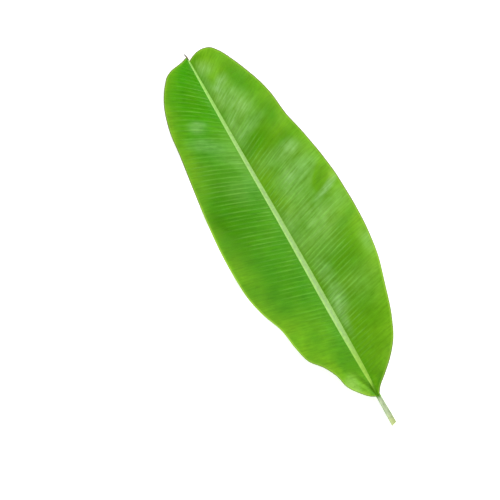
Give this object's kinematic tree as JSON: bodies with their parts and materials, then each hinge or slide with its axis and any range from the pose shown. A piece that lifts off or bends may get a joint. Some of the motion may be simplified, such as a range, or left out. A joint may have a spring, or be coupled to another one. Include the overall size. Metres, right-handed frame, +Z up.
{
  "type": "banana leaf",
  "caption": "Long oval banana leaf lying face up, with a grooved pale midrib, ridged lateral veins, waved margins, a short cut stalk and a dried thread at the tip.",
  "frame": {"origin": "middle of the leaf's footprint, on the surface that it lies on", "axes": "+Y along the midrib from the cut stalk to the tip, +X to the right of the midrib seen from above, +Z up out of the leaf's upper face"},
  "size_m": [0.3096, 0.9304, 0.026],
  "materials": {
    "leaf": "satin"
  },
  "bodies": {
    "root": {"banana_leaf": "leaf"}
  },
  "joints": []
}
